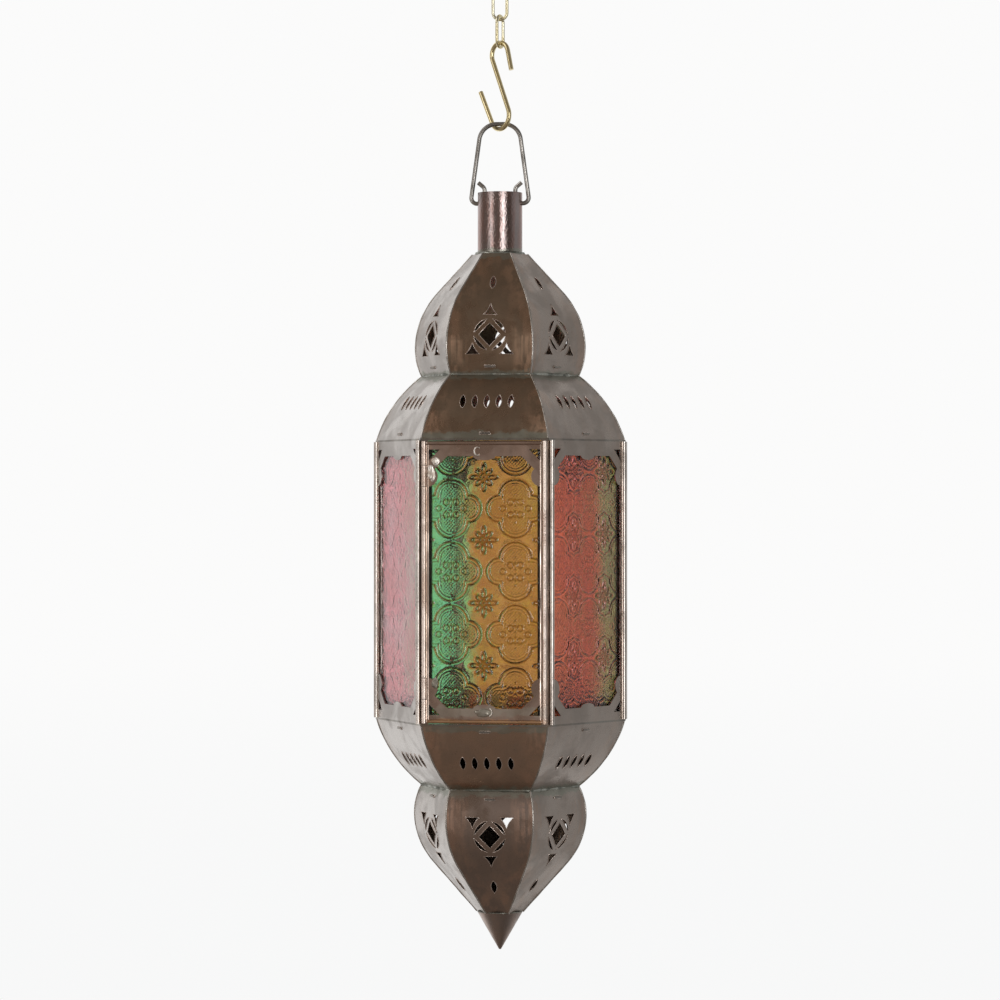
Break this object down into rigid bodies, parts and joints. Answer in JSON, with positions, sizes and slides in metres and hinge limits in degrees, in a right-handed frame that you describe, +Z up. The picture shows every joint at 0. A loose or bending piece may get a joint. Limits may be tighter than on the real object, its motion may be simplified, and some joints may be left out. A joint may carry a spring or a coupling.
{
  "type": "hanging candle lantern",
  "caption": "Hexagonal hanging lantern of pierced antique metal with onion domes, coloured pressed-glass panes, a hinged door, a candle cup, wire bail, S-hook and chain links.",
  "frame": {"origin": "inside top of the upper chain link, where the lantern hangs", "axes": "+Z up along the lantern's axis, the glazed door faces -Y, +X to the right seen from the door"},
  "size_m": [0.1398, 0.1239, 0.5282],
  "materials": {
    "chain_brass": "bright drawn wire",
    "hook_brass": "aged wire",
    "bail_wire": "dark wire",
    "neck_sheet": "antique, polished",
    "aged_sheet": "antique patina",
    "frame_sheet": "antique patina",
    "door_sheet": "antique, coppery",
    "plate_sheet": "dark patina",
    "cup_sheet": "antique, satin",
    "amber_glass": "pressed, tinted",
    "red_glass": "pressed, tinted",
    "green_glass": "pressed, tinted",
    "orange_glass": "pressed, tinted",
    "emerald_glass": "pressed, tinted",
    "rose_glass": "pressed, tinted"
  },
  "bodies": {
    "upper_link": {"chain_link_upper": "chain_brass"},
    "lower_link": {"chain_link_lower": "chain_brass"},
    "hook": {"s_hook": "hook_brass"},
    "bail": {"bail": "bail_wire"},
    "lantern": {"neck_tube": "neck_sheet", "hinge_knuckles": "door_sheet", "door_hinge_pin": "bail_wire", "candle_cup": "cup_sheet", "tip_cone": "aged_sheet", "dome_petal_1": "aged_sheet", "dome_petal_2": "aged_sheet", "dome_petal_3": "aged_sheet", "dome_petal_4": "aged_sheet", "dome_petal_5": "aged_sheet", "dome_petal_6": "aged_sheet", "finial_petal_1": "aged_sheet", "finial_petal_2": "aged_sheet", "finial_petal_3": "aged_sheet", "finial_petal_4": "aged_sheet", "finial_petal_5": "aged_sheet", "finial_petal_6": "aged_sheet", "shoulder_panel_1": "aged_sheet", "shoulder_panel_2": "aged_sheet", "shoulder_panel_3": "aged_sheet", "shoulder_panel_4": "aged_sheet", "shoulder_panel_5": "aged_sheet", "shoulder_panel_6": "aged_sheet", "skirt_panel_1": "aged_sheet", "skirt_panel_2": "aged_sheet", "skirt_panel_3": "aged_sheet", "skirt_panel_4": "aged_sheet", "skirt_panel_5": "aged_sheet", "skirt_panel_6": "aged_sheet", "corner_post_1": "frame_sheet", "corner_post_2": "frame_sheet", "corner_post_3": "frame_sheet", "corner_post_4": "frame_sheet", "corner_post_5": "frame_sheet", "corner_post_6": "frame_sheet", "pane_frame_2": "frame_sheet", "pane_frame_3": "frame_sheet", "pane_frame_4": "frame_sheet", "pane_frame_5": "frame_sheet", "pane_frame_6": "frame_sheet", "upper_waist_plate": "plate_sheet", "top_plate": "plate_sheet", "bottom_plate": "plate_sheet", "lower_waist_plate": "plate_sheet", "glass_pane_2": "red_glass", "glass_pane_3": "green_glass", "glass_pane_4": "orange_glass", "glass_pane_5": "emerald_glass", "glass_pane_6": "rose_glass"},
    "door": {"door_frame": "door_sheet", "door_glass": "amber_glass"}
  },
  "joints": [
    {"name": "lower_link_swing", "type": "hinge", "parent": "upper_link", "child": "lower_link", "pos_m": [0, 0, -0.01425], "axis": [0.309, 0.9511, 0], "range_deg": [-40, 40]},
    {"name": "hook_swing", "type": "hinge", "parent": "lower_link", "child": "hook", "pos_m": [0, 0, -0.029], "axis": [0.766, -0.6428, 0], "range_deg": [-40, 40]},
    {"name": "bail_swing", "type": "hinge", "parent": "hook", "child": "bail", "pos_m": [0, 0, -0.07365], "axis": [1, 0, 0], "range_deg": [-35, 35]},
    {"name": "lantern_swing", "type": "hinge", "parent": "bail", "child": "lantern", "pos_m": [0, 0, -0.11725], "axis": [1, 0, 0], "range_deg": [-35, 35]},
    {"name": "door_hinge", "type": "hinge", "parent": "lantern", "child": "door", "pos_m": [-0.0325, -0.0608, -0.3239], "axis": [0, 0, -1], "range_deg": [0, 120]}
  ]
}
